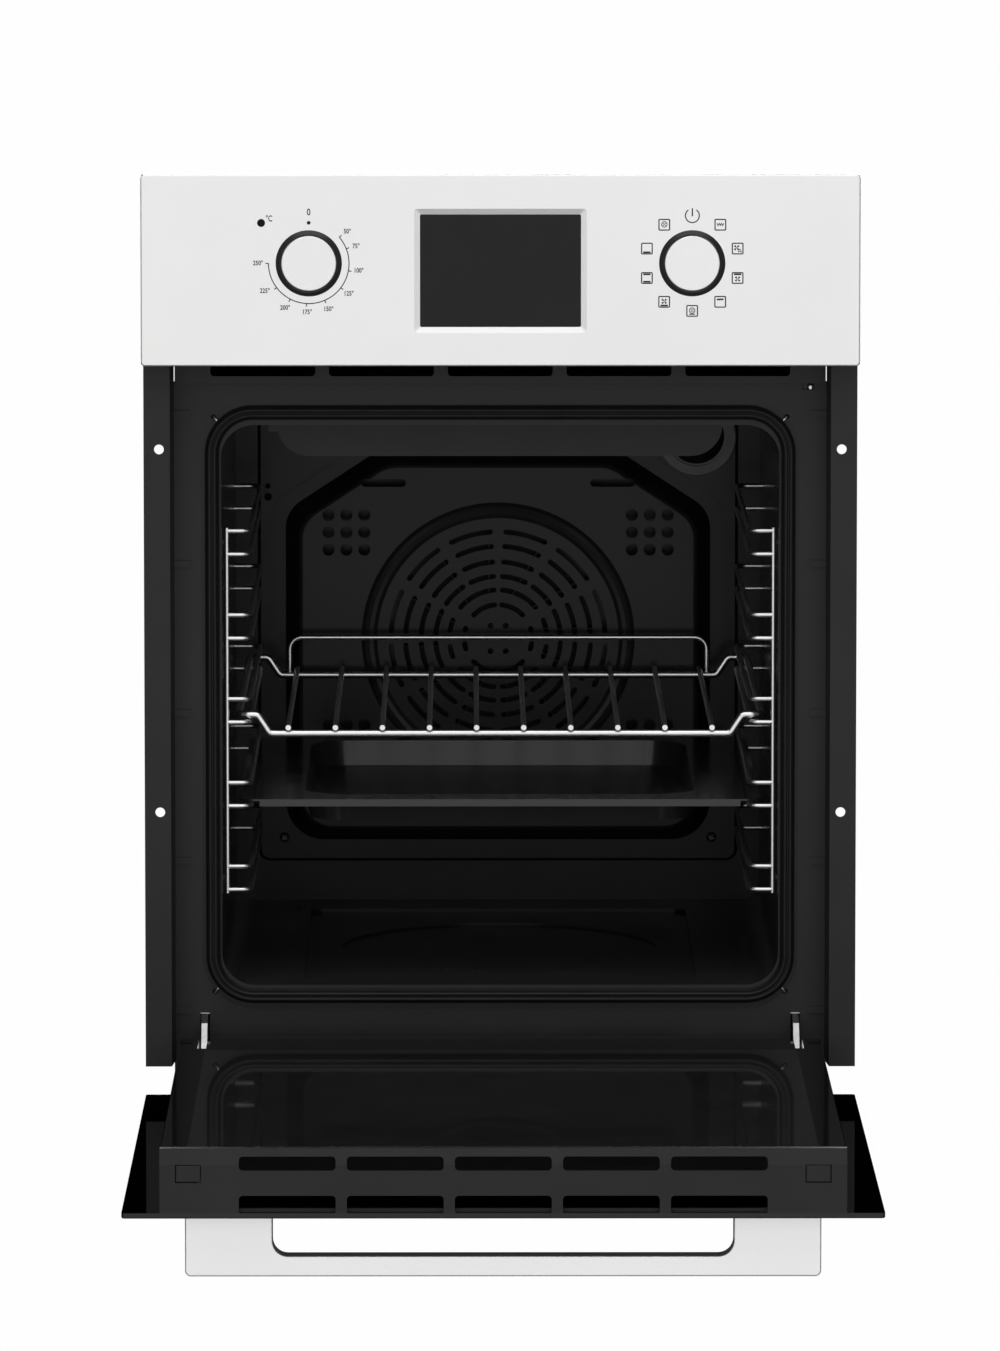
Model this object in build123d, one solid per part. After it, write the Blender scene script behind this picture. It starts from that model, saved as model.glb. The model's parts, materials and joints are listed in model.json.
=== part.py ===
from build123d import *
import os

# Wall oven, 450 mm wide, with a drop-down door shown open.
# Millimetres. X to the right, Y into the oven, Z up.
# Origin: underside of the base pan, on the plane of the cabinet front.

os.makedirs("parts", exist_ok=True)

# Front
panel_width = 447.0
panel_bottom = 475.6
overall_height = 595.0
front_y = -20.0
trim_outer_x = 222.65
trim_inner_x = 206.2
step_inner_x = 204.4
trim_bottom = 33.3
trim_top = 480.0
frame_y = 28.0
frame_half_width = 205.2
frame_top = 462.5
screw_x = 213.0
screw_heights = (194.1, 422.1)
screw_hole_radius = 3.05
tab_heights = (65.2, 159.9, 253.6, 347.7, 442.0)

# Cavity
mouth_half_width = 175.3
mouth_bottom = 81.0
mouth_top = 435.0
mouth_corner = 21.0
back_wall_y = 442.4
back_plateau_y = 439.2
sheet = 1.2

# Casing
casing_half_width = 204.0
casing_top = 562.0
casing_rear = 500.0
cover_rear = 527.0
casing_sheet = 1.0

# Convection fan and its cover
fan_z = 260.0
fan_shaft_radius = 4.0
cover_half_width = 151.3
cover_bottom = 112.7
cover_shoulder = 348.5
cover_top_half = 80.0
cover_top = 395.2
plateau_y = 415.0

# Cavity lamp
lamp_x = 132.6
lamp_z = 393.2
lamp_ring_radius = 26.5
lamp_sleeve_radius = 20.0

# Side racks, shelf and tray
rack_wire = 1.6
rack_wall_x = 172.2
rack_inner_x = 157.4
rack_front_y = 50.0
rack_rear_y = 367.0
rack_first_z = 138.8
rack_pitch = 53.2
rack_pair = 14.8
rack_levels = 5
shelf_level = 2
tray_level = 1

# Controls
knob_x = 119.0
knob_z = 539.7
knob_radius = 17.2
bezel_radius = 20.6
spindle_radius = 3.0
display_half_width = 50.0
display_bottom = 500.0
display_top = 570.0
bevel_width = 3.6
bevel_depth = 1.0

# Door, drawn closed and then turned open about its hinge
hinge_y = -12.0
hinge_z = 20.6
door_bottom = 10.0
door_top = 472.6
door_half_width = 222.5
glass_thickness = 3.2
body_half_width = 200.2
inner_face_y = 20.8
inner_glass_thickness = 3.8
inner_glass_bottom = 25.0
inner_glass_top = 463.2
arm_x = 186.0
arm_thickness = 3.6
slot_half_width = 2.7
case_inner_x = 165.0
case_outer_x = 183.4
case_top = 280.6
pin_radius = 2.5
handle_half_width = 186.0
handle_gap_half = 134.8
handle_bottom = 436.6
handle_top = 451.6
handle_reach_y = -57.7
handle_bar = 12.1
clip_x = 183.5
clip_y = 6.4
clip_size = (14.4, 9.8)

glass_inner_y = front_y + glass_thickness
inner_glass_y = inner_face_y - inner_glass_thickness


def block(x0, x1, y0, y1, z0, z1):
    """A box between two corners."""
    middle = Pos((x0 + x1) / 2, (y0 + y1) / 2, (z0 + z1) / 2)
    return middle * Box(x1 - x0, y1 - y0, z1 - z0)


def rod_x(y, z, radius, x0, x1):
    return Pos((x0 + x1) / 2, y, z) * Rot(0, 90, 0) * Cylinder(radius, x1 - x0)


def rod_y(x, z, radius, y0, y1):
    return Pos(x, (y0 + y1) / 2, z) * Rot(90, 0, 0) * Cylinder(radius, y1 - y0)


def rod_z(x, y, radius, z0, z1):
    return Pos(x, y, (z0 + z1) / 2) * Cylinder(radius, z1 - z0)


def along_y(outline, y0, y1):
    """Extrudes an outline of X and Z between two depths."""
    return extrude(Plane.XZ.offset(-y1) * outline, amount=y1 - y0)


def along_x(outline, x0, x1):
    """Extrudes an outline of Y and Z between two widths."""
    return extrude(Plane.YZ.offset(x0) * outline, amount=x1 - x0)


def along_z(outline, z0, z1):
    """Extrudes an outline of X and Y between two heights."""
    return extrude(Pos(0, 0, z0) * outline, amount=z1 - z0)


def rounded(x0, x1, z0, z1, radius):
    """A rounded rectangle between two corners."""
    return Pos((x0 + x1) / 2, (z0 + z1) / 2) * RectangleRounded(x1 - x0, z1 - z0, radius)


def bent_wire(points, radius, bend):
    """Round wire along straight runs joined by arcs."""
    path = FilletPolyline(*points, radius=bend)
    return sweep(Plane(origin=path @ 0, z_dir=path % 0) * Circle(radius), path=path)


def mirrored(shape):
    return mirror(shape, about=Plane.YZ)


def joined(shapes):
    """Fuses a list of shapes into one."""
    whole = shapes[0]
    for shape in shapes[1:]:
        whole = whole + shape
    return whole


def save(name, shape):
    """Writes one node, as its own solids."""
    solids = shape.solids()
    whole = solids[0] if len(solids) == 1 else Compound(children=list(solids))
    whole.label = name
    export_step(whole, "parts/" + name + ".step")


def make_front_frame():
    mouth = rounded(-mouth_half_width, mouth_half_width, mouth_bottom, mouth_top, mouth_corner)
    plate = block(-frame_half_width, frame_half_width, frame_y, frame_y + 2, sheet, frame_top)
    plate -= along_y(rounded(-187, 187, 66.4, 451, 33), frame_y - 1, frame_y + 0.8)
    plate -= along_y(mouth, frame_y - 1, frame_y + 3)
    for side in (-1, 1):
        plate -= block(side * arm_x - 3, side * arm_x + 3, frame_y - 1, frame_y + 3, 13, 63.5)
        for z in (77, 440.2):
            plate -= rod_y(side * 179.6, z, 1.6, frame_y - 1, frame_y + 3)
    plate -= block(189.2, 196.2, frame_y - 1, frame_y + 3, 457.2, 461)
    return plate


def make_trim():
    """The right trim: flange, slanted step wall and tabs on the frame."""
    wall = Polygon(
        (trim_inner_x, 0), (trim_outer_x, 0), (trim_outer_x, sheet),
        (trim_inner_x + sheet, sheet), (step_inner_x + sheet, frame_y), (step_inner_x, frame_y),
        align=None,
    )
    trim = along_z(wall, trim_bottom, trim_top)
    for z in screw_heights:
        trim -= rod_y(screw_x, z, screw_hole_radius, -1, sheet + 1)
    for z in tab_heights:
        tab = along_y(rounded(194, step_inner_x + 1, z - 2.2, z + 2.2, 1.0), frame_y - 1.4, frame_y)
        trim += tab
    return trim


def make_gasket():
    """Seal round the mouth: a flat foot with a hollow bead on it."""
    foot = rounded(-185.3, 185.3, 69.6, 447.6, 30) - rounded(-176, 176, 80.3, 435.7, 21)
    bead = rounded(-184.3, 184.3, 70.6, 446.6, 29) - rounded(-177.2, 177.2, 79.1, 436.9, 22)
    ring = along_y(bead, inner_face_y + 0.4, frame_y - 1)
    ring = fillet(ring.faces().sort_by(Axis.Y)[0].edges(), 2.6)
    seal = along_y(foot, frame_y - 1, frame_y + 0.8) + ring
    for side in (-1, 1):
        for z in (77, 440.2):
            inward = 5.5 if z < 100 else -5.5
            hook = [(side * 179.6, frame_y + 5, z), (side * 179.6, 26.4, z), (side * 174.1, 26.4, z + inward)]
            seal += bent_wire(hook, 0.9, 1.5)
    return seal


def make_cavity_wrap():
    """Floor, sides and roof of the cavity, with a pressed well in the floor."""
    inner = rounded(-175, 175, mouth_bottom, mouth_top, 12)
    outer = rounded(-175 - sheet, 175 + sheet, mouth_bottom - sheet, mouth_top + sheet, 12 + sheet)
    wrap = along_y(outer, frame_y + 2, back_wall_y)
    wrap += block(-130, 130, 50, 410, mouth_bottom - 4.6, mouth_bottom - 0.5)
    wrap -= along_y(inner, frame_y + 1, back_wall_y + 1)
    well = along_z(Pos(0, 225) * RectangleRounded(249, 340, 10), mouth_bottom - 2.2, mouth_bottom + 1)
    dish = along_z(Pos(0, 222) * Ellipse(102, 118), mouth_bottom - 3.4, mouth_bottom)
    return wrap - well - dish


def make_back_wall():
    """Back wall with a raised middle that the fan cover and the lamp sit on."""
    wall = along_y(rounded(-175, 175, mouth_bottom, mouth_top, 11.9), back_wall_y, back_wall_y + sheet)
    front = Plane.XZ.offset(-back_plateau_y) * rounded(-158.4, 158.4, 109.4, 428, 6)
    foot = Plane.XZ.offset(-back_wall_y) * rounded(-160.6, 160.6, 107.2, 430.2, 8)
    wall += loft([front, foot])
    wall -= rod_y(0, fan_z, 8, 430, 450)
    wall -= rod_y(lamp_x, lamp_z, lamp_sleeve_radius, 430, 450)
    for side in (-1, 1):
        wall -= rod_y(side * 22.8, 345, 3.6, 430, 450)
        wall -= rod_y(side * 20, 424, 3.6, 430, 450)
    for z, radius in ((359.9, 1.8), (352.7, 2.6)):
        wall -= rod_y(-153.7, z, radius, 430, 450)
    return wall


def cover_outline(inset, corner):
    """Outline of the fan cover, moved in by inset."""
    half = [
        (cover_half_width - inset, cover_bottom + inset),
        (cover_half_width - inset, cover_shoulder - 0.54 * inset),
        (cover_top_half - 0.3 * inset, cover_top - inset),
    ]
    points = half + [(-x, z) for x, z in reversed(half)]
    shape = Polygon(*points, align=None)
    shape = fillet(shape.vertices().sort_by(Axis.Y)[:2], corner)
    shoulder = half[1][1]
    return fillet(shape.vertices().filter_by(lambda v: v.Y > shoulder - 0.01), 22)


def slot_arcs(radius, spans):
    """Curved slots on one circle, mirrored left and right."""
    slots = []
    for start, end in spans:
        for side in (-1, 1):
            middle = 90 - side * (start + end) / 2
            arc = CenterArc((0, fan_z), radius, middle - (end - start) / 2, end - start)
            slots.append(SlotArc(arc, 3.4))
    return slots


def make_fan_cover():
    """Pressed dish with a flat rim, a ring bead and the air openings."""
    rim_y = back_plateau_y - sheet
    front = Plane.XZ.offset(-plateau_y) * cover_outline(19, 22)
    rear = Plane.XZ.offset(-rim_y - sheet) * cover_outline(9, 26)
    dish = loft([front, rear])
    dish = fillet(dish.faces().sort_by(Axis.Y)[0].edges(), 3.5)
    front_inside = Plane.XZ.offset(-plateau_y - sheet) * cover_outline(19 + sheet, 21)
    rear_inside = Plane.XZ.offset(-rim_y - sheet) * cover_outline(9 + sheet, 25)
    rim = along_y(cover_outline(0, 10) - cover_outline(9.5, 25.5), rim_y, rim_y + sheet)
    cover = dish + rim - loft([front_inside, rear_inside])
    bead = Polygon((80.5, 0), (91, 0), (88.5, 1.7), (85.75, 2.3), (83, 1.7), align=None)
    bead = revolve(bead, Axis.Y)
    cover += Pos(0, plateau_y, fan_z) * Rot(180, 0, 0) * bead
    openings = []
    even = [(30 * k + 4.2, 30 * k + 25.8) for k in range(6)]
    for radius in (71.4, 61.7, 51.3, 41.6):
        openings += slot_arcs(radius, even)
    openings += slot_arcs(32.5, [(5, 50), (68, 80), (100, 112), (130, 175)])
    openings += slot_arcs(22.6, [(6, 46), (73, 75), (99, 108), (134, 174)])
    for x in (-101, 101):
        for z in (331, 190.2):
            openings += [Pos(x, z) * place * Circle(4) for place in GridLocations(11.9, 11.65, 3, 3).locations]
    for x in (-5, 5):
        for z in (fan_z - 8.4, fan_z + 8.4):
            openings.append(Pos(x, z) * Circle(2))
    for x in (-76.2, 76.2):
        openings.append(Pos(x, 364) * SlotOverall(29.6, 5.2))
    for x in (-143, 143):
        openings.append(Pos(x, 123.6) * Circle(2.1))
    cut = [along_y(outline, plateau_y - 4, back_wall_y) for outline in openings]
    return cover - cut


def make_base_pan():
    pan = block(-203, 203, -6, casing_rear - 1, 0, sheet)
    for side in (-1, 1):
        for y in (60, 440):
            pan -= rod_z(side * 150, y, 4, -1, 2)
    return pan


def make_outer_wrap():
    """Sides and top of the casing, bent from one sheet."""
    inner = casing_half_width - casing_sheet
    wrap = block(-casing_half_width, casing_half_width, frame_y + 2.1, casing_rear - 1, sheet, casing_top)
    wrap += block(-casing_half_width, casing_half_width, 2, frame_y + 3, 481, casing_top)
    wrap -= block(-inner, inner, 0, casing_rear, 0, casing_top - casing_sheet)
    for row in range(6):
        for side in (-1, 1):
            wrap -= block(side * 204 - 3, side * 204 + 3, 330 + 20 * row, 342 + 20 * row, 500, 504)
    return wrap


def make_rear_panel():
    """Rear sheet with a raised housing over the fan motor."""
    panel = block(-203, 203, casing_rear - 1, casing_rear, sheet, casing_top - 1)
    panel += along_y(rounded(-62, 62, 205, 315, 8), casing_rear - 0.5, cover_rear)
    panel -= along_y(rounded(-61, 61, 206, 314, 7), casing_rear - 2, cover_rear - 1)
    for z in (228, 238, 248, 258, 268, 278, 288):
        panel -= along_y(Pos(0, z) * SlotOverall(70, 4), cover_rear - 3, cover_rear + 1)
    for column in range(8):
        x = -105 + 30 * column
        for z in (360, 374, 388):
            panel -= along_y(Pos(x, z) * SlotOverall(22, 4), 490, 510)
    return panel - rod_y(-160, 511, 8, 490, 510)


def make_insulation():
    wrap = rounded(-200, 200, 50, 461, 20) - rounded(-178, 178, 66, 438, 14)
    rear = rounded(-190, 190, 84, 430, 10) - Pos(0, fan_z) * Circle(42) - Pos(lamp_x, lamp_z) * Circle(24)
    rear = along_y(rear, back_wall_y + 1.8, 460)
    rear -= block(-30, 30, 442, 461, 336, 431)
    return along_y(wrap, 80, 436) + rear


def make_grill_shield():
    """Tray under the cavity roof whose front lip hides the grill element."""
    lip = rounded(-140.5, 140.5, 411.5, 470, 20) & rounded(-150, 150, 400, 434, 1)
    shield = along_y(lip, 75, 76)
    shield += block(-140.5, 140.5, 75, 395, 433, 434)
    shield += block(-146, -139, 75, 77, 427, 434)
    for x in (-100, 100):
        for y in (120, 360):
            shield += rod_z(x, y, 5, 433.5, 435)
    return shield


def make_grill_element():
    half = [(20, 466), (20, 402), (122, 402), (122, 95), (72, 95), (72, 350), (26, 350), (26, 95)]
    points = [(-x, y, 424) for x, y in half] + [(x, y, 424) for x, y in reversed(half)]
    return bent_wire(points, 3.2, 14)


def make_bottom_element():
    half = [(20, 470), (20, 425), (145, 425), (145, 75), (60, 75), (60, 360)]
    points = [(-x, y, 72.6) for x, y in half] + [(x, y, 72.6) for x, y in reversed(half)]
    return bent_wire(points, 3.2, 16)


def make_ring_heater():
    plane = Plane(origin=(0, 428, fan_z), x_dir=(1, 0, 0), z_dir=(0, -1, 0))
    arc = plane * CenterArc((0, 0), 88, 105, 330)
    tube = sweep(Plane(origin=arc @ 0, z_dir=arc % 0) * Circle(3.2), path=arc)
    for side in (-1, 1):
        tube += rod_y(side * 22.8, 345, 3.2, 428, 470)
        tube += Pos(side * 22.8, 428, 345) * Sphere(3.3)
    return tube


def make_fan_motor():
    motor = rod_y(0, fan_z, 30, 466, 508) + rod_y(0, fan_z, 14, 444, 466)
    motor += block(-58, 58, 463.5, 466, fan_z - 12, fan_z + 12)
    motor += block(-34, 34, 470, 498, fan_z - 24, fan_z + 24)
    return motor - rod_y(0, fan_z, fan_shaft_radius + 0.05, 440, 512)


def make_fan_impeller():
    hub_radius = 10
    impeller = rod_y(0, fan_z, 66, 433, 434.2) + rod_y(0, fan_z, hub_radius, 423, 436)
    blade = block(28, 65, 421, 433.5, -0.6, 0.6)
    for k in range(12):
        impeller += Pos(0, 0, fan_z) * Rot(0, 30 * k, 0) * Pos(0, 0, 6) * blade
    return impeller - rod_y(0, fan_z, fan_shaft_radius, 420, 440)


def make_lamp_holder():
    holder = rod_y(lamp_x, lamp_z, lamp_ring_radius, 436.2, back_plateau_y - 0.1)
    holder = chamfer(holder.faces().sort_by(Axis.Y)[0].edges(), 0.8)
    holder -= rod_y(lamp_x, lamp_z, lamp_sleeve_radius - 0.1, 430, 445)
    sleeve = rod_y(lamp_x, lamp_z, lamp_sleeve_radius, 438.2, 478)
    return holder + sleeve - rod_y(lamp_x, lamp_z, 18.4, 430, 474)


def make_lamp_lens():
    lens = rod_y(lamp_x, lamp_z, 18.2, 433, 446)
    lens = fillet(lens.faces().sort_by(Axis.Y)[0].edges(), 6)
    return lens - rod_y(lamp_x, lamp_z, 16.4, 435.2, 450)


def make_lamp_bulb():
    bulb = rod_y(lamp_x, lamp_z, 8, 446, 458) + Pos(lamp_x, 446, lamp_z) * Sphere(8)
    return bulb + rod_y(lamp_x, lamp_z, 10, 458, 474)


def make_rack():
    """The right side rack: a front upright and pairs of wires that end in the side wall."""
    top = rack_first_z + rack_pitch * (rack_levels - 1) + rack_pair
    wires = [rod_z(rack_wall_x, rack_front_y, rack_wire, rack_first_z - 2, top + 2)]
    for level in range(rack_levels):
        for lift in (0, rack_pair):
            z = rack_first_z + rack_pitch * level + lift
            points = [
                (rack_wall_x, rack_front_y, z), (rack_inner_x, rack_front_y, z),
                (rack_inner_x, rack_rear_y, z), (mouth_half_width - 0.5, rack_rear_y, z),
            ]
            wires.append(bent_wire(points, rack_wire, 6))
    return joined(wires)


def make_rack_studs():
    studs = []
    for side in (-1, 1):
        for level in (0, rack_levels - 1):
            z = rack_first_z + rack_pitch * level + rack_pair / 2
            low, high = sorted((side * (rack_wall_x + rack_wire + 0.1), side * 175))
            studs.append(rod_x(rack_front_y, z, 2.4, low, high))
    return Compound(children=studs)


def make_wire_shelf():
    """A frame of bent wire with dipped cross bars, rungs and the rear guard."""
    rail_x, frame_wire, rung_wire = 165.0, 2.4, 1.7
    z = rack_first_z + rack_pitch * shelf_level + rack_wire + frame_wire + 0.3
    low = z - 11.8
    front, rear, turn = 54.0, 396.0, 12.0
    shelf = []
    for y, inward in ((front, turn), (rear, -turn)):
        half = [(rail_x, y + inward, z), (rail_x, y, z), (152.8, y, z), (145, y, low)]
        points = half + [(-x, depth, height) for x, depth, height in reversed(half)]
        shelf.append(bent_wire(points, frame_wire, [8, 4, 4, 4, 4, 8]))
    for side in (-1, 1):
        shelf.append(rod_y(side * rail_x, z, frame_wire, front + turn, rear - turn))
    for k in range(10):
        x = -133.6 + 29.7 * k
        shelf.append(rod_y(x, low + 4.0, rung_wire, front - 4, rear + 4))
    guard = [(-138.5, rear, low + 2), (-138.5, rear, low + 25), (138.5, rear, low + 25), (138.5, rear, low + 2)]
    shelf.append(bent_wire(guard, rung_wire, 8))
    return joined(shelf)


def make_baking_tray():
    """Shallow pressed tray with a wide side flange and a turned front lip."""
    top = rack_first_z + rack_pitch * tray_level + rack_wire + 1.4
    outline = Pos(0, 231) * RectangleRounded(330, 342, 10)
    tray = along_z(outline, top - 1, top)
    well_outer = Pos(0, 236) * RectangleRounded(250, 300, 30)
    well_inner = Pos(0, 236) * RectangleRounded(248, 298, 29)
    floor_outer = Pos(0, 236) * RectangleRounded(242, 292, 26)
    floor_inner = Pos(0, 236) * RectangleRounded(240, 290, 25)
    outer = loft([Pos(0, 0, top - 0.5) * well_outer, Pos(0, 0, top - 17) * floor_outer])
    inner = loft([Pos(0, 0, top + 0.5) * well_inner, Pos(0, 0, top - 16) * floor_inner])
    lip = block(-152, 152, 60, 61, top - 4.5, top - 0.5) + block(-152, 152, 401, 402, top - 4.5, top - 0.5)
    return tray + outer + lip - inner


def make_control_panel():
    """Folded panel with a bevelled display opening and two knob holes."""
    half = panel_width / 2
    shell = along_y(rounded(-half, half, panel_bottom, overall_height, 2.5), front_y, -0.2)
    shell = fillet(shell.faces().sort_by(Axis.Y)[0].edges(), 1.2)
    shell -= along_y(rounded(-half + 1.4, half - 1.4, panel_bottom + 1.4, overall_height - 1.4, 1.5),
                     front_y + 1.4, 1)
    wide = rounded(-display_half_width - bevel_width, display_half_width + bevel_width,
                   display_bottom - bevel_width, display_top + bevel_width, 2)
    narrow = rounded(-display_half_width, display_half_width, display_bottom, display_top, 1)
    border = bevel_width + 1.4
    widest = rounded(-display_half_width - border, display_half_width + border,
                     display_bottom - border, display_top + border, 2)
    shell += along_y(widest, front_y + 0.5, front_y + 3)
    shell -= loft([Plane.XZ.offset(-front_y) * wide, Plane.XZ.offset(-front_y - bevel_depth) * narrow])
    shell -= along_y(narrow, front_y + bevel_depth - 0.1, front_y + 4)
    for side in (-1, 1):
        shell -= rod_y(side * knob_x, knob_z, 19, front_y - 1, front_y + 3)
    return shell - rod_y(-148.5, 564.8, 2.5, front_y - 1, front_y + 3)


def make_display_window():
    window = along_y(rounded(-display_half_width + 0.1, display_half_width - 0.1,
                             display_bottom + 0.1, display_top - 0.1, 0.9), front_y + bevel_depth, front_y + 4)
    return window + block(-54, 54, front_y + 3, front_y + 5, display_bottom - 4, display_top + 4)


def make_knob_bezels():
    """Chamfered rings round the knobs, snapped into the panel."""
    rings = []
    for side in (-1, 1):
        profile = Polygon((17.6, -1.7), (18.0, -1.9), (bezel_radius, 0), (18.9, 0), (18.9, 6), (17.6, 6), align=None)
        ring = revolve(profile, Axis.Y)
        rings.append(Pos(side * knob_x, front_y, knob_z) * ring)
    return Compound(children=rings)


def make_knob(side):
    """Cup-shaped cap with a hub that slides on its spindle."""
    cap = rod_y(side * knob_x, knob_z, knob_radius, front_y - 2.2, -2)
    cap = fillet(cap.faces().sort_by(Axis.Y)[0].edges(), 0.8)
    cap -= rod_y(side * knob_x, knob_z, knob_radius - 1.6, front_y, 0)
    cap += rod_y(side * knob_x, knob_z, 5.5, front_y - 0.5, -2)
    return cap - rod_y(side * knob_x, knob_z, spindle_radius + 0.05, front_y + 0.2, 0)


def make_spindle(side):
    spindle = rod_y(side * knob_x, knob_z, spindle_radius, front_y + 1, 36)
    return spindle + rod_y(side * knob_x, knob_z, 4.5, 8.4, 11.6)


def make_switch_body(side, radius):
    """Rotary switch or thermostat behind a knob."""
    body = rod_y(side * knob_x, knob_z, radius, 6, 34)
    body += block(side * knob_x - 22, side * knob_x + 22, 4.5, 6.5, knob_z - 10, knob_z + 10)
    body += block(side * knob_x - 12, side * knob_x + 12, 33, 37, knob_z - 12, knob_z + 12)
    body -= rod_y(side * knob_x, knob_z, spindle_radius + 0.05, 0, 40)
    return body - rod_y(side * knob_x, knob_z, 4.9, 8, 12)


def make_pilot_lens():
    lens = rod_y(-148.5, 564.8, 2.45, front_y - 0.6, front_y + 1.4)
    lens += rod_y(-148.5, 564.8, 3.6, front_y + 1.4, front_y + 8)
    return fillet(lens.faces().sort_by(Axis.Y)[0].edges(), 0.5)


def make_timer_board():
    board = block(-60, 60, -6, -4.4, 493, 577)
    board += block(-45, 45, -12, -6, 505, 565)
    board += block(-40, -14, -4.5, 10, 500, 524)
    board += rod_y(25, 520, 8, -4.5, 12) + rod_y(45, 520, 5, -4.5, 8)
    return board


def make_air_duct():
    """Duct over the cavity with the slotted outlet strip at its mouth."""
    duct = block(-200, 200, 24, 250, 462.7, 475.4)
    duct -= block(-198.8, 198.8, 25.2, 251, 463.9, 474.2)
    duct += block(-203.5, 203.5, 24, 25.2, 461.4, 475.4)
    duct += block(-203.5, 203.5, 24, 27.9, 461.4, 462.4)
    for k in range(5):
        duct -= along_y(Pos(74.3 * (k - 2), 470) * RectangleRounded(65.6, 8, 2.4), 20, 26)
    return duct


def make_blower_housing():
    housing = block(-84, 104, 251, 345, 465, 540)
    housing -= block(-82.8, 102.8, 252.2, 343.8, 466.2, 538.8)
    housing -= block(-80, 100, 250, 253, 467, 475)
    for k in range(9):
        housing -= block(-78 + 20 * k, -66 + 20 * k, 265, 335, 538, 541)
    return housing - rod_x(300, 503, 3.05, -90, 110)


def make_blower_motor():
    motor = rod_x(300, 503, 24, 104.5, 142) + block(106, 138, 272, 328, 482, 524)
    return motor - rod_x(300, 503, 3.05, 100, 150)


def make_blower_rotor():
    rotor = rod_x(300, 503, 3, -86, 140)
    for x in (-78, 10, 96):
        rotor += rod_x(300, 503, 26, x, x + 1.5)
    blade = block(-78, 97, -0.5, 0.5, 18, 25.5)
    for k in range(16):
        rotor += Pos(0, 300, 503) * Rot(22.5 * k, 0, 0) * Pos(0, 3, 0) * blade
    return rotor


def make_door_switch():
    body = block(186, 200, 30.1, 58, 450, 462)
    return body - block(192.4, 195.8, 29, 50, 457.2, 461.0)


def make_switch_plunger():
    stem = along_y(rounded(192.7, 195.5, 457.5, 460.7, 1.2), inner_face_y + 0.5, 44)
    return fillet(stem.faces().sort_by(Axis.Y)[0].edges(), 0.8)


def make_terminal_box():
    box = block(-192, -128, casing_rear, cover_rear, 480, 545)
    box -= block(-190.5, -129.5, casing_rear - 1, cover_rear - 1.5, 481.5, 543.5)
    return box - rod_z(-160, 513, 7, 475, 485)


def make_cable_gland():
    gland = rod_z(-160, 513, 7, 468, 486) + rod_z(-160, 513, 9.5, 472, 480)
    return gland - rod_z(-160, 513, 4, 460, 490)


def make_casing_screws():
    """Pan-head screws of the rear panel and the fan cover."""
    places = [(x, z) for x in (-190, 190) for z in (40, 210, 400)]
    places += [(x, casing_top - 14) for x in (-100, 100)]
    screws = [rod_y(x, z, 3.6, casing_rear, casing_rear + 2.2) for x, z in places]
    for x in (-143, 143):
        head = rod_y(x, 123.6, 3.4, back_plateau_y - 3.2, back_plateau_y - 1.3)
        screws.append(head + rod_y(x, 123.6, 2.0, back_plateau_y - 1.4, back_plateau_y - 0.1))
    return Compound(children=[screw.solids()[0] for screw in screws])


def opened(piece):
    """Turns a piece of the closed door to the open position."""
    return Pos(0, hinge_y, hinge_z) * Rot(90, 0, 0) * Pos(0, -hinge_y, -hinge_z) * piece


def make_outer_glass():
    glass = along_y(rounded(-door_half_width, door_half_width, door_bottom, door_top, 2), front_y, glass_inner_y)
    glass = chamfer(glass.faces().sort_by(Axis.Y)[0].edges(), 0.6)
    for side in (-1, 1):
        glass -= rod_y(side * 160, 444, 2.6, front_y - 1, glass_inner_y + 1)
    return glass


def make_inner_glass():
    glass = along_y(rounded(-200, 200, inner_glass_bottom, inner_glass_top, 2), inner_glass_y, inner_face_y)
    glass = chamfer(glass.faces().sort_by(Axis.Y)[-1].edges(), 0.5)
    for side in (-1, 1):
        glass -= block(side * arm_x - slot_half_width, side * arm_x + slot_half_width, 10, 30, 20, 68)
    return glass


def make_middle_glass():
    return along_y(rounded(-162, 162, 24, 462, 2), 3, 6.2)


def make_top_trim():
    """Vented cap of the door: bevelled inner edge, two rows of slots."""
    bottom = inner_glass_top + 0.2
    profile = Polygon(
        (glass_inner_y, bottom), (inner_face_y, bottom), (inner_face_y, door_top - 4),
        (11.7, door_top), (glass_inner_y, door_top), align=None,
    )
    inside = Polygon(
        (glass_inner_y + 2, bottom - 1), (inner_face_y - 2, bottom - 1), (inner_face_y - 2, door_top - 5.3),
        (11.2, door_top - 2), (glass_inner_y + 2, door_top - 2), align=None,
    )
    trim = along_x(profile, -body_half_width, body_half_width) - along_x(inside, -197, 197)
    slot = RectangleRounded(56.4, 8.1, 2.4)
    for k in range(5):
        x = 62.9 * (k - 2)
        trim -= along_z(Pos(x, 12.25) * slot, bottom + 2, door_top + 1)
        trim -= along_z(Pos(x, -12.2) * RectangleRounded(56.4, 11.4, 2.4), door_top - 5, door_top + 1)
    width, depth = clip_size
    for side in (-1, 1):
        trim -= block(side * clip_x - width / 2 - 0.4, side * clip_x + width / 2 + 0.4,
                      clip_y - depth / 2 - 0.4, clip_y + depth / 2 + 0.4, bottom - 1, door_top + 1)
    return trim


def make_door_rail():
    """The right rail of the door, a square tube beside the hinge slot."""
    inner = arm_x + slot_half_width
    rail = block(inner, body_half_width, glass_inner_y, inner_glass_y, 12, 458)
    rail -= block(inner + 1.4, body_half_width - 1.4, glass_inner_y + 1.4, inner_glass_y - 1.4, 13.4, 460)
    return rail - rod_x(hinge_y, hinge_z, pin_radius, inner - 1, inner + 2)


def make_bottom_rail():
    rail = block(-164.6, 164.6, glass_inner_y, inner_face_y, 12, 24)
    return rail - block(-166, 166, glass_inner_y + 1.4, inner_face_y - 1.4, 13.4, 22.6)


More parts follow.
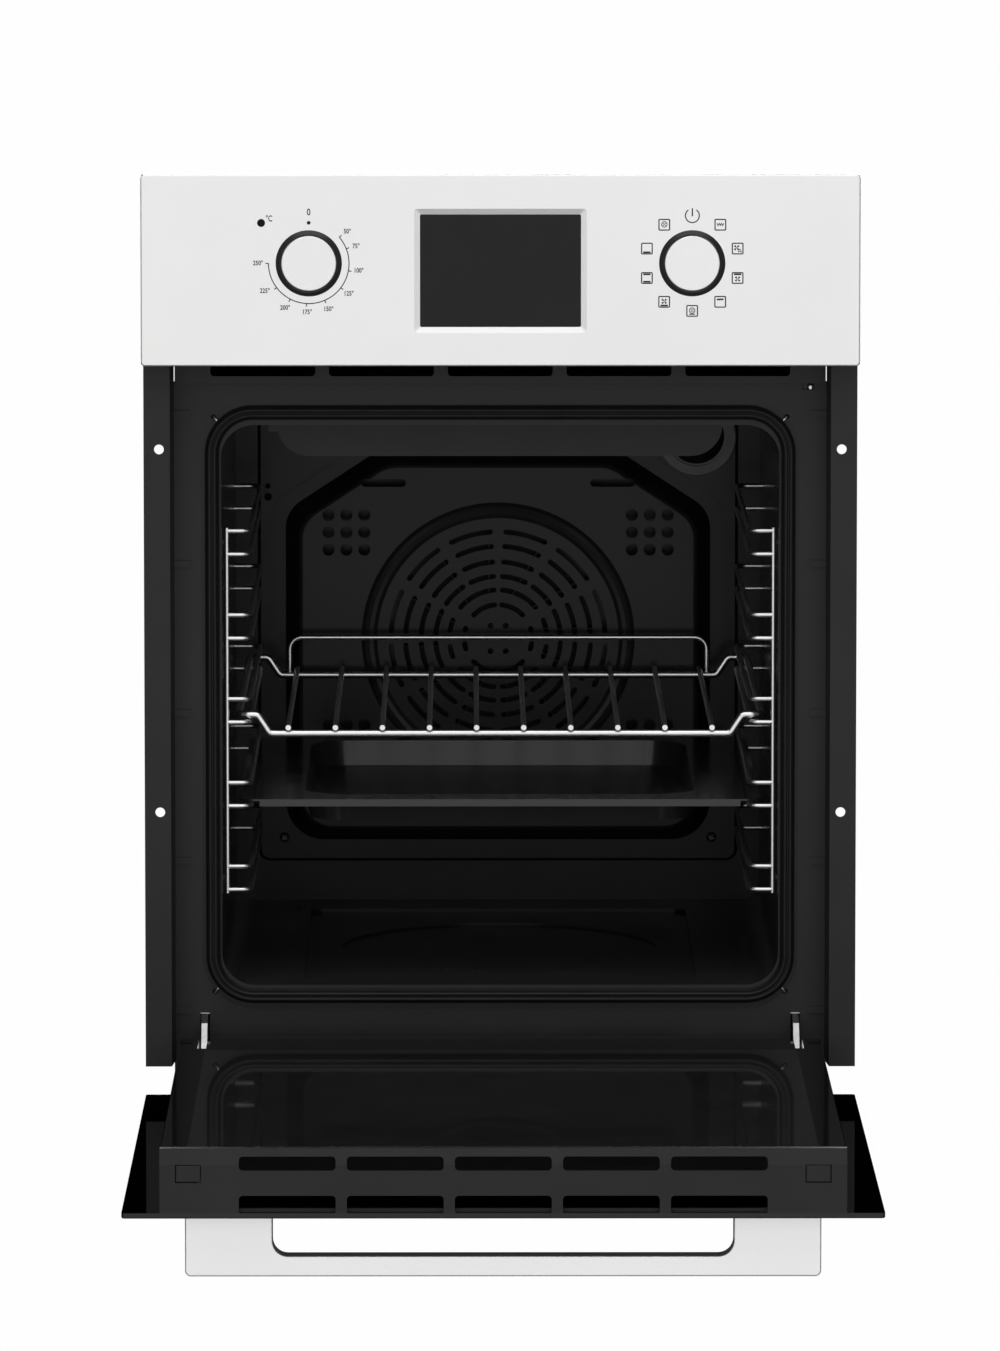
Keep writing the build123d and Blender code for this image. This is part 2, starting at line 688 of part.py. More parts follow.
def make_hinge_case():
    """The right hinge case, a stamped channel with the hinge pin riveted in."""
    low_y, high_y = glass_inner_y + 1, inner_glass_y - 0.4
    case = block(case_inner_x, case_outer_x, low_y, high_y, 14, case_top)
    case -= block(case_inner_x + 1.2, case_outer_x - 1.2, low_y + 1.2, high_y - 1.2, 13, case_top - 1.2)
    case -= block(172, 177.8, high_y - 3, high_y + 1, 118, 147)
    case -= block(165.8, 171, high_y - 3, high_y + 1, 166, 182)
    case -= block(165.8, 171, high_y - 3, high_y + 1, 222, 242)
    case -= block(178.6, 180.2, high_y - 3, high_y + 1, 96, 200)
    case -= rod_y(176.4, 232, 2.6, high_y - 3, high_y + 1)
    return case + rod_x(hinge_y, hinge_z, pin_radius, case_outer_x - 1.2, arm_x + slot_half_width + 1.4)


def make_hinge_spring():
    """Closed-coil tension spring of the right hinge on its pull rod."""
    turns, pitch, bottom = 24, 5.0, 110.0
    x, y = 174.2, 0.4
    spring = rod_z(x, y, 2.2, 60, bottom + turns * pitch + 20)
    points = [(2.0, 0)]
    for k in range(turns):
        points += [(4.6, k * pitch), (6.2, (k + 0.5) * pitch)]
    points += [(4.6, turns * pitch), (2.0, turns * pitch)]
    coil = revolve(Plane.XZ * Polygon(*points, align=None), Axis.Z)
    return spring + Pos(x, y, bottom) * coil


def make_handle():
    """Bridge handle: two broad legs and a flat bar."""
    outline = Polygon(
        (-handle_half_width, handle_reach_y), (handle_half_width, handle_reach_y),
        (handle_half_width, front_y), (handle_gap_half, front_y),
        (handle_gap_half, handle_reach_y + handle_bar), (-handle_gap_half, handle_reach_y + handle_bar),
        (-handle_gap_half, front_y), (-handle_half_width, front_y), align=None,
    )
    inner = outline.vertices().filter_by(lambda v: abs(v.Y - handle_reach_y - handle_bar) < 0.01)
    outline = fillet(inner, 9)
    outer = outline.vertices().filter_by(lambda v: abs(v.Y - handle_reach_y) < 0.01)
    outline = fillet(outer, 3.5)
    handle = along_z(outline, handle_bottom, handle_top)
    rims = handle.faces().filter_by(Axis.Z).edges().filter_by(lambda e: e.center().Y < front_y - 0.5)
    handle = fillet(rims, 1.0)
    for side in (-1, 1):
        handle -= rod_y(side * 160, 444, 2.2, front_y - 12, front_y + 1)
    return handle


def make_door_screws():
    screws = []
    for side in (-1, 1):
        screw = rod_y(side * 160, 444, 2.2, front_y - 12, glass_inner_y)
        screws.append(screw + rod_y(side * 160, 444, 4.5, glass_inner_y, glass_inner_y + 3))
    return Compound(children=[screw.solids()[0] for screw in screws])


def make_glass_clip(side):
    width, depth = clip_size
    x = side * clip_x
    clip = block(x - width / 2, x + width / 2, clip_y - depth / 2, clip_y + depth / 2, inner_glass_top, door_top + 0.6)
    return fillet(clip.faces().sort_by(Axis.Z)[-1].edges(), 0.7)


def make_hinge_arms():
    """Fixed arms of both hinges, with their receivers behind the frame."""
    outline = Polygon(
        (hinge_y, hinge_z - 4.2), (4, hinge_z - 4.2), (frame_y, 14.2), (71, 14.2),
        (71, 61.8), (frame_y, 62), (12, 59), (2, 48), (-7, 30), (hinge_y - 2.5, hinge_z + 3.4), align=None,
    )
    arms = []
    for side in (-1, 1):
        x0, x1 = arm_x - arm_thickness / 2, arm_x + arm_thickness / 2
        arm = along_x(outline, x0, x1) + rod_x(hinge_y, hinge_z, 4.2, x0, x1)
        receiver = block(180, 192, frame_y + 2.2, 72, 12, 64)
        receiver -= block(181.5, 190.5, frame_y, 70.5, 13.5, 62.5)
        arm = arm + receiver - rod_x(hinge_y, hinge_z, pin_radius + 0.06, 180, 195)
        arms.append(arm if side > 0 else mirrored(arm))
    return Compound(children=[arm.solids()[0] for arm in arms])


def pair(shape):
    """A right-hand piece and its mirror image, as two solids."""
    return Compound(children=[shape.solids()[0], mirrored(shape).solids()[0]])


trim = make_trim()
rack = make_rack()
rail = make_door_rail()

chassis = {
    "front_frame": make_front_frame(),
    "trim_right": trim,
    "trim_left": mirrored(trim),
    "door_gasket": make_gasket(),
    "cavity_wrap": make_cavity_wrap(),
    "cavity_back_wall": make_back_wall(),
    "fan_cover": make_fan_cover(),
    "base_pan": make_base_pan(),
    "outer_wrap": make_outer_wrap(),
    "rear_panel": make_rear_panel(),
    "insulation": make_insulation(),
    "grill_shield": make_grill_shield(),
    "grill_element": make_grill_element(),
    "bottom_element": make_bottom_element(),
    "ring_heater": make_ring_heater(),
    "fan_motor": make_fan_motor(),
    "fan_impeller": make_fan_impeller(),
    "fan_shaft": rod_y(0, fan_z, fan_shaft_radius, 422, 506),
    "lamp_holder": make_lamp_holder(),
    "lamp_lens": make_lamp_lens(),
    "lamp_bulb": make_lamp_bulb(),
    "rack_right": rack,
    "rack_left": mirrored(rack),
    "rack_studs": make_rack_studs(),
    "wire_shelf": make_wire_shelf(),
    "baking_tray": make_baking_tray(),
    "hinge_arms": make_hinge_arms(),
    "door_switch": make_door_switch(),
    "switch_plunger": make_switch_plunger(),
    "terminal_box": make_terminal_box(),
    "cable_gland": make_cable_gland(),
    "casing_screws": make_casing_screws(),
}

controls = {
    "control_panel": make_control_panel(),
    "display_window": make_display_window(),
    "knob_bezels": make_knob_bezels(),
    "temperature_knob": make_knob(-1),
    "selector_knob": make_knob(1),
    "temperature_spindle": make_spindle(-1),
    "selector_spindle": make_spindle(1),
    "thermostat_body": make_switch_body(-1, 18),
    "selector_switch": make_switch_body(1, 21),
    "pilot_lens": make_pilot_lens(),
    "timer_board": make_timer_board(),
    "air_duct": make_air_duct(),
    "blower_housing": make_blower_housing(),
    "blower_motor": make_blower_motor(),
    "blower_rotor": make_blower_rotor(),
}

door = {
    "outer_glass": make_outer_glass(),
    "inner_glass": make_inner_glass(),
    "middle_glass": make_middle_glass(),
    "door_top_trim": make_top_trim(),
    "door_rail_right": rail,
    "door_rail_left": mirrored(rail),
    "door_bottom_rail": make_bottom_rail(),
    "hinge_cases": pair(make_hinge_case()),
    "hinge_springs": pair(make_hinge_spring()),
    "door_handle": make_handle(),
    "door_screws": make_door_screws(),
    "glass_clip_left": make_glass_clip(-1),
    "glass_clip_right": make_glass_clip(1),
}

for name, shape in {**chassis, **controls}.items():
    save(name, shape)
for name, shape in door.items():
    save(name, opened(shape))
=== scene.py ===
import bpy
import bmesh
import json
import math
from mathutils import Matrix, Vector, noise


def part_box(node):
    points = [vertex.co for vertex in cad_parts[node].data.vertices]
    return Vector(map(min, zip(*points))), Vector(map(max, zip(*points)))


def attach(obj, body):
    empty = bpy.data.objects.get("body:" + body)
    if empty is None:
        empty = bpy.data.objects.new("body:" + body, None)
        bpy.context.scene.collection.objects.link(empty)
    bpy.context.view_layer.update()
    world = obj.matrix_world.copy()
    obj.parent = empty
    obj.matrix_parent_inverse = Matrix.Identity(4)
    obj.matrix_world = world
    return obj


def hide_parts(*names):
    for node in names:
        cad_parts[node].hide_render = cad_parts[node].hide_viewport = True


# Wall oven with its door down: finishes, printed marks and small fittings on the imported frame.
# Metres, X to the right, Y into the oven, Z up.

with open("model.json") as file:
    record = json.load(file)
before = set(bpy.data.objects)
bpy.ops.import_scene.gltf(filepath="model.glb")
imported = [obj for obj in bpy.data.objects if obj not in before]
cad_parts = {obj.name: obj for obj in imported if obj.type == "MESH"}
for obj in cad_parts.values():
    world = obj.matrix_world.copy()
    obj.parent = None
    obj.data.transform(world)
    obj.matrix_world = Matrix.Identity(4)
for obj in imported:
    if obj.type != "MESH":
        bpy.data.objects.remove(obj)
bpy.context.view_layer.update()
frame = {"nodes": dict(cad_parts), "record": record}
nodes = frame["nodes"]
mm = 0.001


class Wire:  # a socket that can stand in a sum
    def __init__(self, graph, socket):
        self.graph = graph
        self.socket = socket

    def maths(self, operation, first, second=None):
        values = {0: first} if second is None else {0: first, 1: second}
        return self.graph.node(self.graph.mathsNode, {"operation": operation}, values)

    def __add__(self, other):
        return self.maths("ADD", self, other)

    def __radd__(self, other):
        return self.maths("ADD", other, self)

    def __sub__(self, other):
        return self.maths("SUBTRACT", self, other)

    def __rsub__(self, other):
        return self.maths("SUBTRACT", other, self)

    def __mul__(self, other):
        return self.maths("MULTIPLY", self, other)

    def __rmul__(self, other):
        return self.maths("MULTIPLY", other, self)

    def __truediv__(self, other):
        return self.maths("DIVIDE", self, other)

    def __gt__(self, other):
        return self.maths("GREATER_THAN", self, other)

    def __lt__(self, other):
        return self.maths("LESS_THAN", self, other)

    def size(self):
        return self.maths("ABSOLUTE", self)

    def atMost(self, other):
        return self.maths("MINIMUM", self, other)

    def atLeast(self, other):
        return self.maths("MAXIMUM", self, other)


class Graph:
    mathsNode = "ShaderNodeMath"

    def node(self, kind, settings=None, values=None, out=0):
        made = self.tree.nodes.new(kind)
        for key, value in (settings or {}).items():
            if key == "stops":
                self.stops(made.color_ramp, value)
            else:
                setattr(made, key, value)
        for key, value in (values or {}).items():
            if isinstance(value, Wire):
                self.tree.links.new(value.socket, made.inputs[key])
            else:
                made.inputs[key].default_value = value
        return Wire(self, made.outputs[out])

    def stops(self, ramp, places):
        while len(ramp.elements) < len(places):
            ramp.elements.new(1)
        for element, (place, level) in zip(ramp.elements, places):
            element.position = place
            element.color = (level, level, level, 1)


class Finish(Graph):
    def __init__(self, name):
        self.material = bpy.data.materials.new(name)
        self.material.use_nodes = True
        self.tree = self.material.node_tree
        self.tree.nodes.clear()

    def place(self):
        return self.node("ShaderNodeTexCoord", out="Object")

    def noise(self, scale, detail=3, roughness=0.55, vector=None):
        values = {"Scale": scale, "Detail": detail, "Roughness": roughness, "Vector": vector or self.place()}
        return self.node("ShaderNodeTexNoise", {}, values, out="Fac")

    def stretched(self, x, y, z):
        return self.node("ShaderNodeMapping", {}, {"Vector": self.place(), "Scale": (x, y, z)})

    def cells(self, scale, out="Color"):
        return self.node("ShaderNodeTexVoronoi", {}, {"Scale": scale, "Vector": self.place()}, out=out)

    def axes(self):
        split = self.node("ShaderNodeSeparateXYZ", {}, {"Vector": self.place()})
        outputs = split.socket.node.outputs
        return [Wire(self, outputs[k]) for k in range(3)]

    def ramp(self, factor, places):
        return self.node("ShaderNodeValToRGB", {"stops": places}, {"Fac": factor})

    def between(self, factor, first, second):
        values = {0: factor, 6: first, 7: second}
        return self.node("ShaderNodeMix", {"data_type": "RGBA"}, values, out=2)

    def bump(self, height, depth, strength=1.0):
        values = {"Height": height, "Distance": depth, "Strength": strength}
        return self.node("ShaderNodeBump", {}, values)

    def principled(self, **values):
        named = {key.replace("_", " "): value for key, value in values.items()}
        return self.node("ShaderNodeBsdfPrincipled", {}, named)

    def mixed(self, factor, first, second):
        return self.node("ShaderNodeMixShader", {}, {0: factor, 1: first, 2: second})

    def done(self, shader):
        output = self.tree.nodes.new("ShaderNodeOutputMaterial")
        self.tree.links.new(shader.socket, output.inputs["Surface"])
        return self.material


def tone(level, warmth=0.0):
    return (level * (1 + warmth), level, level * (1 - warmth), 1)


silver = {"light": 0.87, "dark": 0.79, "grain": 2600, "cloud": 9, "metallic": 0.9,
          "roughness": 0.42, "spread": 0.16, "grainDepth": 0.00003}


# lightLift above 1 raises the silver's colour as painted light, for a part that gets less light than the panel
def satinSilver(name, lightLift=1.0):
    f = Finish(name)
    grain = f.noise(silver["grain"], 2, 0.7)
    cloud = f.noise(silver["cloud"], 2)
    shade = f.ramp(grain * 0.75 + cloud * 0.25, [(0.3, 0), (0.7, 1)])
    colour = f.between(shade, tone(silver["dark"] * lightLift), tone(silver["light"] * lightLift, 0.004))
    rough = silver["roughness"] + (grain - 0.5) * silver["spread"]
    return f.done(f.principled(Base_Color=colour, Metallic=silver["metallic"], Roughness=rough,
                               Normal=f.bump(grain, silver["grainDepth"], 0.6)))


enamel = {"peel": 420, "peelDepth": 0.00006, "fleck": 1500, "fleckCut": 0.70, "dust": 14, "dusty": 0.08}


def darkEnamel(name, level, roughness, specular, fleckLevel):
    f = Finish(name)
    peel = f.noise(enamel["peel"], 2)
    fleck = f.noise(enamel["fleck"], 1) > enamel["fleckCut"]
    dust = f.ramp(f.noise(enamel["dust"], 5, 0.6), [(0.42, 0), (0.75, 1)])
    base = f.between(dust, tone(level), tone(level * 1.3, 0.01))
    colour = f.between(fleck * fleckLevel, base, tone(level * 3))
    rough = roughness + dust * enamel["dusty"] + (peel - 0.5) * 0.06
    return f.done(f.principled(Base_Color=colour, Roughness=rough, Specular_IOR_Level=specular,
                               Normal=f.bump(peel, enamel["peelDepth"], 0.5)))


chrome = {"level": 0.74, "stain": 14, "draw": 25, "drawDepth": 0.000002, "roughness": 0.27, "spread": 0.03}


def brightWire():
    f = Finish("brightWire")
    stain = f.ramp(f.noise(chrome["stain"], 2, 0.5), [(0.3, 0), (0.7, 1)])
    draw = f.noise(chrome["draw"], 1)
    colour = f.between(stain, tone(chrome["level"]), tone(chrome["level"] * 0.9, 0.01))
    rough = chrome["roughness"] + draw * chrome["spread"]
    return f.done(f.principled(Base_Color=colour, Metallic=1.0, Roughness=rough,
                               Normal=f.bump(draw, chrome["drawDepth"], 0.1)))


zinc = {"spangle": 95, "patch": 70, "fine": 700, "fineDepth": 0.00003, "roughness": 0.34, "spread": 0.16}


def galvanised(name="galvanised", low=0.36, high=0.58, metal=0.5):
    f = Finish(name)
    spangle = f.cells(zinc["spangle"], "Distance")
    patch = f.node("ShaderNodeRGBToBW", {}, {"Color": f.cells(zinc["patch"])})
    fine = f.noise(zinc["fine"], 2)
    shade = (patch * 0.6 + spangle * 0.25 + fine * 0.15).atMost(1.0)
    colour = f.between(shade, tone(low, 0.01), tone(high, 0.01))
    rough = zinc["roughness"] + patch * zinc["spread"] + fine * 0.05
    return f.done(f.principled(Base_Color=colour, Metallic=metal, Roughness=rough,
                               Normal=f.bump(fine, zinc["fineDepth"], 0.4)))


plate = {"turn": 900, "turnDepth": 0.00003, "stain": 120, "stained": 0.7, "spread": 0.12}


def zincPlate(name, level, roughness):
    f = Finish(name)
    turn = f.noise(plate["turn"], 2)
    stain = f.ramp(f.noise(plate["stain"], 4), [(0.4, 0), (0.8, 1)])
    colour = f.between(stain, tone(level, 0.01), tone(level * plate["stained"], 0.03))
    return f.done(f.principled(Base_Color=colour, Metallic=1.0, Roughness=roughness + turn * plate["spread"],
                               Normal=f.bump(turn, plate["turnDepth"], 0.4)))


sheath = {"scale": 160, "scaleDepth": 0.00008, "heat": 18, "cool": (0.055, 0.052, 0.05, 1),
          "burnt": (0.13, 0.115, 0.10, 1), "metallic": 0.6, "roughness": 0.42, "spread": 0.2}


def heaterSheath():
    f = Finish("heaterSheath")
    scale = f.noise(sheath["scale"], 5, 0.65)
    heat = f.ramp(f.noise(sheath["heat"], 2), [(0.35, 0), (0.65, 1)])
    colour = f.between(heat, sheath["cool"], sheath["burnt"])
    rough = sheath["roughness"] + scale * sheath["spread"]
    return f.done(f.principled(Base_Color=colour, Metallic=sheath["metallic"], Roughness=rough,
                               Normal=f.bump(scale, sheath["scaleDepth"], 0.5)))


plastic = {"spark": 1800, "sparkDepth": 0.00004, "wear": 40, "worn": 1.4, "spread": 0.1}


def moulded(name, level, roughness, specular=0.4):
    f = Finish(name)
    spark = f.noise(plastic["spark"], 2)
    wear = f.noise(plastic["wear"], 4)
    colour = f.between(wear, tone(level), tone(level * plastic["worn"]))
    return f.done(f.principled(Base_Color=colour, Roughness=roughness + spark * plastic["spread"],
                               Specular_IOR_Level=specular, Normal=f.bump(spark, plastic["sparkDepth"], 0.5)))


glass = {"backPrint": (0.0004, 0.0004, 0.0005, 1), "haze": (0.0008, 0.0008, 0.0009, 1),
         "mirror": (0.9, 0.92, 0.92, 1), "clear": (0.90, 0.92, 0.92, 1),
         "tinted": (0.25, 0.26, 0.26, 1), "index": 1.5, "veil": 0.5, "veilShare": 0.025, "ink": 0.003}


def printedGlass():
    f = Finish("printedGlass")
    haze = f.noise(25, 3)
    colour = f.between(haze, glass["backPrint"], glass["haze"])
    return f.done(f.principled(Base_Color=colour, Roughness=0.02 + haze * 0.02, Specular_IOR_Level=0.35,
                               Normal=f.bump(f.noise(6, 1), 0.00002, 0.05)))


def sheetGlass(name, tint, ink=None):
    # clear sheet that mirrors at a low angle, with a black printed border where ink says so
    f = Finish(name)
    haze = f.noise(30, 3)
    gloss = f.principled(Base_Color=glass["mirror"], Metallic=1.0, Roughness=0.015 + haze * 0.02)
    clear = f.node("ShaderNodeBsdfTransparent", {}, {"Color": tint})
    shine = f.node("ShaderNodeFresnel", {}, {"IOR": glass["index"]})
    veil = f.principled(Base_Color=tone(glass["veil"]), Roughness=0.8, Specular_IOR_Level=0)
    sheet = f.mixed(shine, f.mixed(haze * 0.02 + glass["veilShare"], clear, veil), gloss)
    if ink is None:
        return f.done(sheet)
    black = f.principled(Base_Color=tone(glass["ink"]), Roughness=0.04 + haze * 0.02, Specular_IOR_Level=0.25)
    return f.done(f.mixed(ink(f), sheet, black))


border = {"side": 0.184, "hinge": -0.065}  # the print starts this far out, and this near the hinge


def borderInk(f):
    x, y, z = f.axes()
    return (x.size() > border["side"]).atLeast(y > border["hinge"])


lampCover = {"tint": (0.45, 0.46, 0.45, 1), "body": 0.03, "cloud": 90, "edge": 0.35}


def lampGlass():
    f = Finish("lampGlass")
    cloud = f.noise(lampCover["cloud"], 1)
    clear = f.node("ShaderNodeBsdfTransparent", {}, {"Color": lampCover["tint"]})
    body = f.principled(Base_Color=tone(lampCover["body"]), Roughness=0.08 + cloud * 0.06,
                        Specular_IOR_Level=0.5)
    edge = f.node("ShaderNodeLayerWeight", {}, {"Blend": lampCover["edge"]}, out="Facing")
    return f.done(f.mixed(edge * 0.7 + 0.2, clear, body))


# from shadeFrom to shadeTo the wool carries painted shade, at the level shadeLevel
wool = {"fibre": 700, "fibreDepth": 0.0006, "tuft": 60, "dull": (0.40, 0.34, 0.20, 1),
        "pale": (0.72, 0.66, 0.48, 1), "shadeFrom": 0.4446, "shadeTo": 0.4526, "shadeLevel": 0.006}


def mineralWool():
    # straw-coloured fibre, with a near-black band of painted shade where it shows through the holes in the
    # cavity's back wall
    f = Finish("mineralWool")
    fibre = f.noise(wool["fibre"], 4, 0.7, f.stretched(1, 0.25, 1))
    tuft = f.noise(wool["tuft"], 4)
    straw = f.between(fibre * 0.6 + tuft * 0.4, wool["dull"], wool["pale"])
    x, y, z = f.axes()
    # painted shade: the wool just behind the back wall is made near black, standing in for the shade in the
    # holes
    face = (y > wool["shadeFrom"]).atMost(y < wool["shadeTo"])
    colour = f.between(face, straw, tone(wool["shadeLevel"]))
    return f.done(f.principled(Base_Color=colour, Roughness=0.95,
                               Normal=f.bump(fibre, wool["fibreDepth"], 0.8)))


board = {"tracks": 90, "gap": 0.03, "resist": (0.02, 0.10, 0.045, 1), "copper": (0.05, 0.22, 0.10, 1)}


def circuitBoard():
    f = Finish("circuitBoard")
    track = f.node("ShaderNodeTexBrick", {}, {
        "Vector": f.place(), "Scale": board["tracks"], "Mortar Size": board["gap"]}, out="Fac")
    colour = f.between(track, board["resist"], board["copper"])
    return f.done(f.principled(Base_Color=colour, Roughness=0.35 + f.noise(500, 2) * 0.15,
                               Normal=f.bump(track, 0.00003, 0.5)))


core = {"leaf": 320, "leafDepth": 0.0001, "rust": 150, "iron": (0.13, 0.13, 0.14, 1),
        "rusted": (0.26, 0.25, 0.24, 1), "metallic": 0.7}


def laminations():
    f = Finish("laminations")
    places = {"Vector": f.place(), "Scale": core["leaf"]}
    leaf = f.node("ShaderNodeTexWave", {"bands_direction": "Z"}, places, out="Fac")
    rust = f.noise(core["rust"], 4)
    colour = f.between(rust, core["iron"], core["rusted"])
    return f.done(f.principled(Base_Color=colour, Metallic=core["metallic"], Roughness=0.45 + rust * 0.15,
                               Normal=f.bump(leaf, core["leafDepth"], 0.6)))


def sealRubber():
    f = Finish("sealRubber")
    skin = f.noise(900, 3)
    colour = f.between(f.noise(35, 4), tone(0.006), tone(0.012))
    return f.done(f.principled(Base_Color=colour, Roughness=0.45 + skin * 0.15, Specular_IOR_Level=0.22,
                               Normal=f.bump(skin, 0.00005, 0.6)))


def smokedWindow():
    f = Finish("smokedWindow")
    haze = f.noise(18, 3)
    colour = f.between(haze, tone(0.018), tone(0.021))
    return f.done(f.principled(Base_Color=colour, Roughness=0.30 + haze * 0.05, Specular_IOR_Level=0.1))


def printInk():
    f = Finish("printInk")
    grain = f.noise(2500, 2)
    colour = f.between(grain, tone(0.008), tone(0.02))
    return f.done(f.principled(Base_Color=colour, Roughness=0.6 + grain * 0.1, Specular_IOR_Level=0.1,
                               Normal=f.bump(grain, 0.00002, 0.4)))


springSteel = zincPlate("springSteel", 0.5, 0.28)
finishes = {
    "panel_steel": satinSilver("panelSilver"),
    # painted light: the handle's silver is made lighter than the panel's, standing in for light that its lower
    # place does not get
    "handle_steel": satinSilver("handleSilverPaintedLight", 1.06),
    "knob_silver": satinSilver("knobSilver"),
    "dark_enamel": darkEnamel("frameEnamel", 0.020, 0.40, 0.18, 0.10),
    "cavity_enamel": darkEnamel("cavityEnamel", 0.019, 0.20, 0.14, 0.14),
    "tray_enamel": darkEnamel("trayEnamel", 0.020, 0.14, 0.40, 0.12),
    "bezel_dark": moulded("bezelPlastic", 0.014, 0.32, 0.4),
    "display_dark": smokedWindow(),
    "pilot_dark": moulded("pilotSmoke", 0.002, 0.25, 0.1),
    "black_glass": printedGlass(),
    "clear_glass": sheetGlass("clearSheet", glass["clear"]),
    "door_trim": darkEnamel("trimPaint", 0.020, 0.42, 0.18, 0.08),
    "galvanised": galvanised(),
    "bright_wire": brightWire(),
    "bright_steel": zincPlate("zincPlate", 0.58, 0.3),
    "gasket_grey": sealRubber(),
    "insulation_wool": mineralWool(),
    "heater_sheath": heaterSheath(),
    "motor_grey": laminations(),
    "aluminium_blades": zincPlate("millAluminium", 0.62, 0.34),
    "lamp_glass": lampGlass(),
    "black_plastic": moulded("mouldedBlack", 0.018, 0.5),
    "circuit_green": circuitBoard(),
}
special = {
    "inner_glass": sheetGlass("borderedSheet", glass["clear"], borderInk),
    "middle_glass": sheetGlass("tintedSheet", glass["tinted"]),
    "lamp_holder": moulded("lampRing", 0.11, 0.4, 0.4),
    "hinge_arms": zincPlate("armSteel", 0.54, 0.3),
    # painted highlight: the hinge cases' zinc is made near white and barely metallic, standing in for the
    # bright light falling on them
    "hinge_cases": galvanised("caseZincPaintedLight", 0.86, 0.98, 0.02),
    "rack_studs": moulded("studEnamel", 0.02, 0.4, 0.2),
    "fan_impeller": darkEnamel("impellerBlack", 0.012, 0.4, 0.12, 0.1),
    "fan_shaft": zincPlate("shaftSteel", 0.12, 0.35),
}

for part in frame["record"]["subparts"]:
    node = nodes[part["node"]]
    chosen = special.get(part["node"], finishes[part["material_slot"]])
    node.data.materials.clear()
    node.data.materials.append(chosen)
print("finishes:", len(finishes) + len(special))


def placed(name, mesh, finish, body, replaced=()):
    piece = bpy.data.objects.new(name, mesh)
    bpy.context.scene.collection.objects.link(piece)
    mesh.materials.clear()
    mesh.materials.append(finish)
    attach(piece, body)
    if replaced:
        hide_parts(*replaced)
    return piece


def meshOf(build, name, smooth=True):
    bmesh.ops.recalc_face_normals(build, faces=build.faces)
    mesh = bpy.data.meshes.new(name)
    build.to_mesh(mesh)
    build.free()
    mesh.shade_smooth() if smooth else mesh.shade_flat()
    return mesh


def rings(build, loops, closed=True):
    # skins rows of points that all have one length; closed joins the last row to the first
    rows = [[build.verts.new(point) for point in loop] for loop in loops]
    pairs = list(zip(rows, rows[1:] + rows[:1])) if closed else list(zip(rows, rows[1:]))
    for near, far in pairs:
        for k in range(len(near)):
            after = (k + 1) % len(near)
            build.faces.new((near[k], near[after], far[after], far[k]))
    if not closed:
        build.faces.new(rows[0])
        build.faces.new(rows[-1])


def solidBoxes(name):
    # the box of each separate solid in a node
    build = bmesh.new()
    build.from_mesh(nodes[name].data)
    bmesh.ops.remove_doubles(build, verts=build.verts, dist=0.00001)
    waiting = set(build.verts)
    boxes = []
    while waiting:
        front = [waiting.pop()]
        island = []
        while front:
            vertex = front.pop()
            island.append(vertex.co.copy())
            for edge in vertex.link_edges:
                other = edge.other_vert(vertex)
                if other in waiting:
                    waiting.remove(other)
                    front.append(other)
        low = Vector([min(point[k] for point in island) for k in range(3)])
        high = Vector([max(point[k] for point in island) for k in range(3)])
        boxes.append((low, high))
    build.free()
    return boxes


class Print:  # strokes and patches of ink on the panel's face, each a thin closed solid
    def __init__(self, x, z):
        self.centre = Vector((x, z))
        self.build = bmesh.new()

    def point(self, flat, y):
        return (self.centre.x + flat[0] * mm, y, self.centre.y + flat[1] * mm)

    def patch(self, outline):
        loops = [[self.point(flat, y) for flat in outline] for y in (ink["front"], ink["back"])]
        rings(self.build, loops, closed=False)

    def disc(self, x, z, radius):
        self.patch(turned(x, z, radius, 0, 345, 24))

    def stroke(self, points, width, closed=False):
        spots = [Vector(point) for point in points]
        sections = []
        for k, spot in enumerate(spots):
            before = spots[k - 1] if closed or k > 0 else None
            after = spots[(k + 1) % len(spots)] if closed or k < len(spots) - 1 else None
            arrive = (spot - before).normalized() if before is not None else (after - spot).normalized()
            leave = (after - spot).normalized() if after is not None else arrive
            across = Vector((-arrive.y - leave.y, arrive.x + leave.x)).normalized()
            reach = width / 2 / max(0.5, across.dot(Vector((-arrive.y, arrive.x))))
            left, right = spot + across * reach, spot - across * reach
            sections.append([self.point(left, ink["front"]), self.point(right, ink["front"]),
                             self.point(right, ink["back"]), self.point(left, ink["back"])])
        rings(self.build, sections, closed)

    def words(self, text, x, z, height, narrow=0.82):
        letters = bpy.data.curves.new("letters", "FONT")
        letters.body = text
        letters.align_x = "CENTER"
        letters.align_y = "CENTER"
        letters.size = height / ink["digit"] * mm
        letters.extrude = (ink["back"] - ink["front"]) / 2
        letters.offset = ink["bold"]
        letters.resolution_u = 3
        holder = bpy.data.objects.new("letters", letters)
        bpy.context.scene.collection.objects.link(holder)
        mesh = bpy.data.meshes.new_from_object(holder.evaluated_get(bpy.context.evaluated_depsgraph_get()))
        where = self.point((x, z), (ink["front"] + ink["back"]) / 2)
        upright = Matrix.Translation(where) @ Matrix.Rotation(math.pi / 2, 4, "X")
        mesh.transform(upright @ Matrix.Diagonal((narrow, 1, 1, 1)))
        self.build.from_mesh(mesh)
        bpy.data.objects.remove(holder)
        bpy.data.meshes.remove(mesh)

    def done(self, name):
        mesh = meshOf(self.build, name, smooth=False)
        return placed(name, mesh, inkFinish, "chassis")


def turned(x, z, radius, start, end, steps):
    # points on a circle, angles clockwise from the top
    angles = [math.radians(start + (end - start) * k / (steps - 1)) for k in range(steps)]
    return [(x + radius * math.sin(angle), z + radius * math.cos(angle)) for angle in angles]


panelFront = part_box("control_panel")[0][1]
ink = {  # how proud and how deep a mark lies, how bold its letters are, and a digit's share of the size
    "front": panelFront - 0.05 * mm, "back": panelFront + 0.02 * mm, "bold": 0.09 * mm, "digit": 0.72,
}
inkFinish = printInk()


def knobCentre(name):
    low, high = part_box(name)
    return (low[0] + high[0]) / 2, (low[2] + high[2]) / 2


